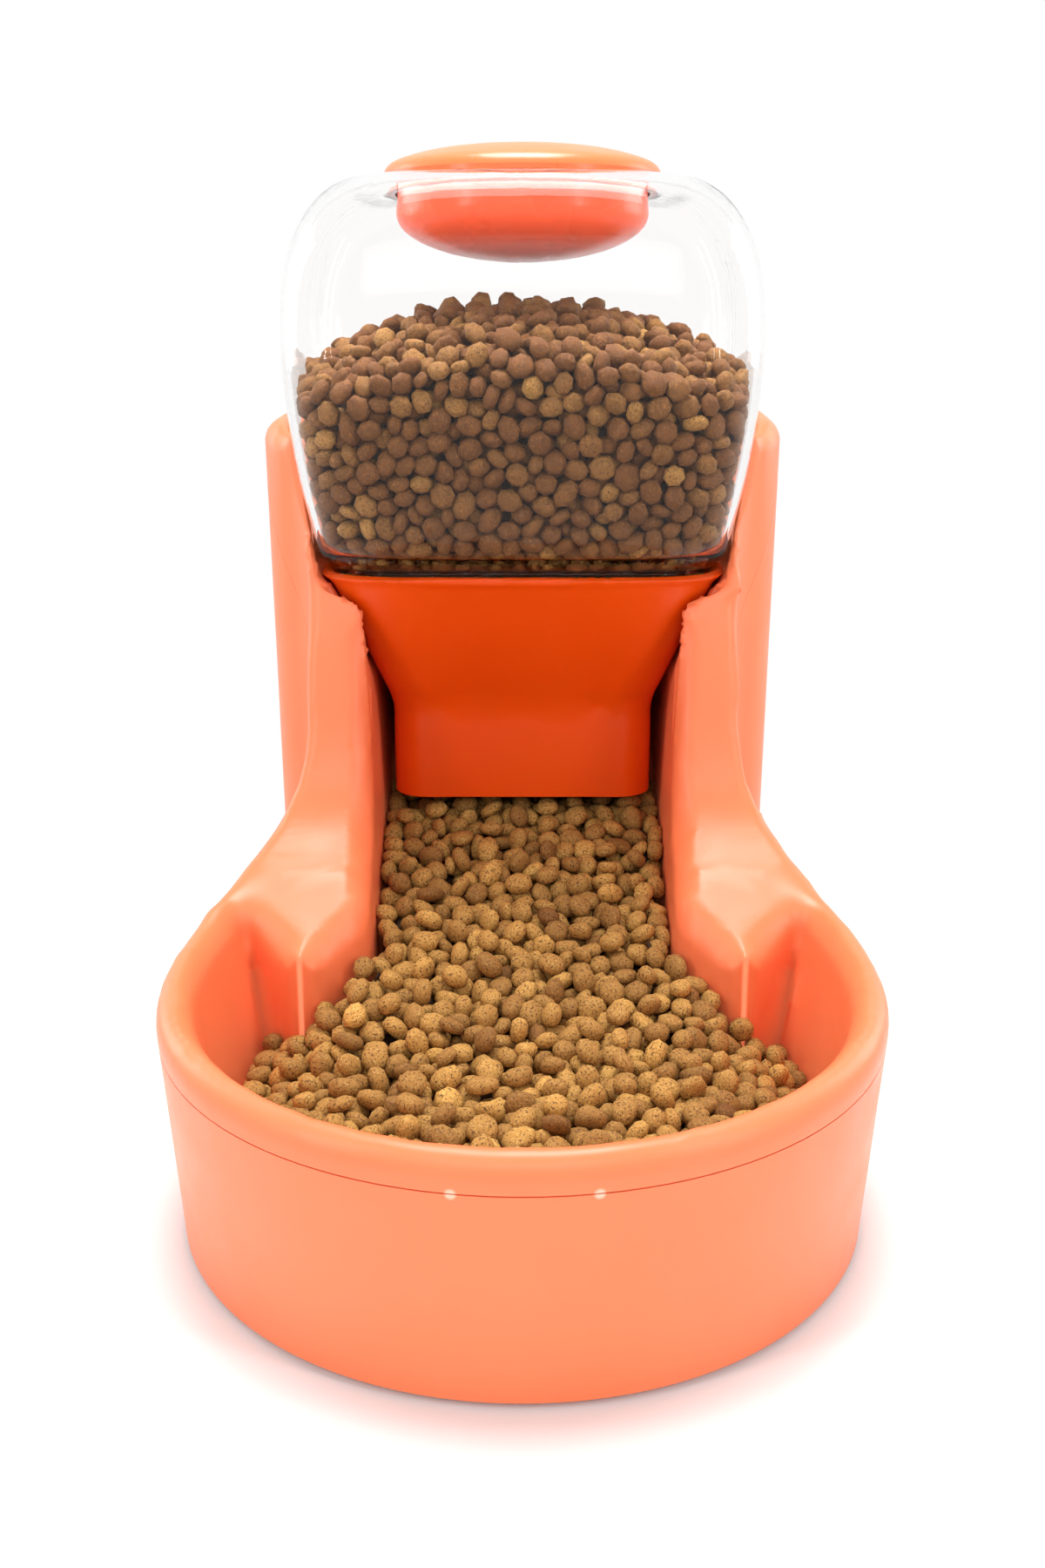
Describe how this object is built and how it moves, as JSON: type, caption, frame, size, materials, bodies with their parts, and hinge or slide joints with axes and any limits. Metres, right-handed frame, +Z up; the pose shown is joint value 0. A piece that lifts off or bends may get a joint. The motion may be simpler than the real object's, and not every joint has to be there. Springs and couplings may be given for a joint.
{
  "type": "gravity pet feeder",
  "caption": "Gravity feeder for a pet: a round bowl with a swept column behind it that carries a hopper, a clear tank of dry food and a domed lid.",
  "frame": {"origin": "on the floor under the middle of the whole feeder", "axes": "+Z up, the bowl looks towards -Y, X runs from side to side and the feeder is symmetric about X = 0"},
  "size_m": [0.2102, 0.323, 0.309],
  "materials": {
    "coral_plastic": "satin moulded plastic",
    "hopper_plastic": "polished moulded plastic",
    "lid_plastic": "satin moulded plastic",
    "clear_plastic": "polished clear plastic",
    "kibble": "dry matt food",
    "screw_steel": "plain zinc",
    "foot_rubber": "matt"
  },
  "bodies": {
    "base": {"upper_housing": "coral_plastic", "lower_housing": "coral_plastic", "feed_hopper": "hopper_plastic", "housing_screws": "screw_steel", "foot_front_left": "foot_rubber", "foot_front_right": "foot_rubber", "foot_rear_left": "foot_rubber", "foot_rear_right": "foot_rubber", "kibble_in_bowl": "kibble", "kibble_in_hopper": "kibble"},
    "tank": {"food_tank": "clear_plastic", "kibble_in_tank": "kibble"},
    "lid": {"lid_cap": "lid_plastic", "lid_plug": "lid_plastic"}
  },
  "joints": [
    {"name": "tank_lift", "type": "slide", "parent": "base", "child": "tank", "axis": [0, 0, 1], "range_m": [0, 0.08]},
    {"name": "lid_lift", "type": "slide", "parent": "tank", "child": "lid", "axis": [0, 0, 1], "range_m": [0, 0.045]}
  ]
}
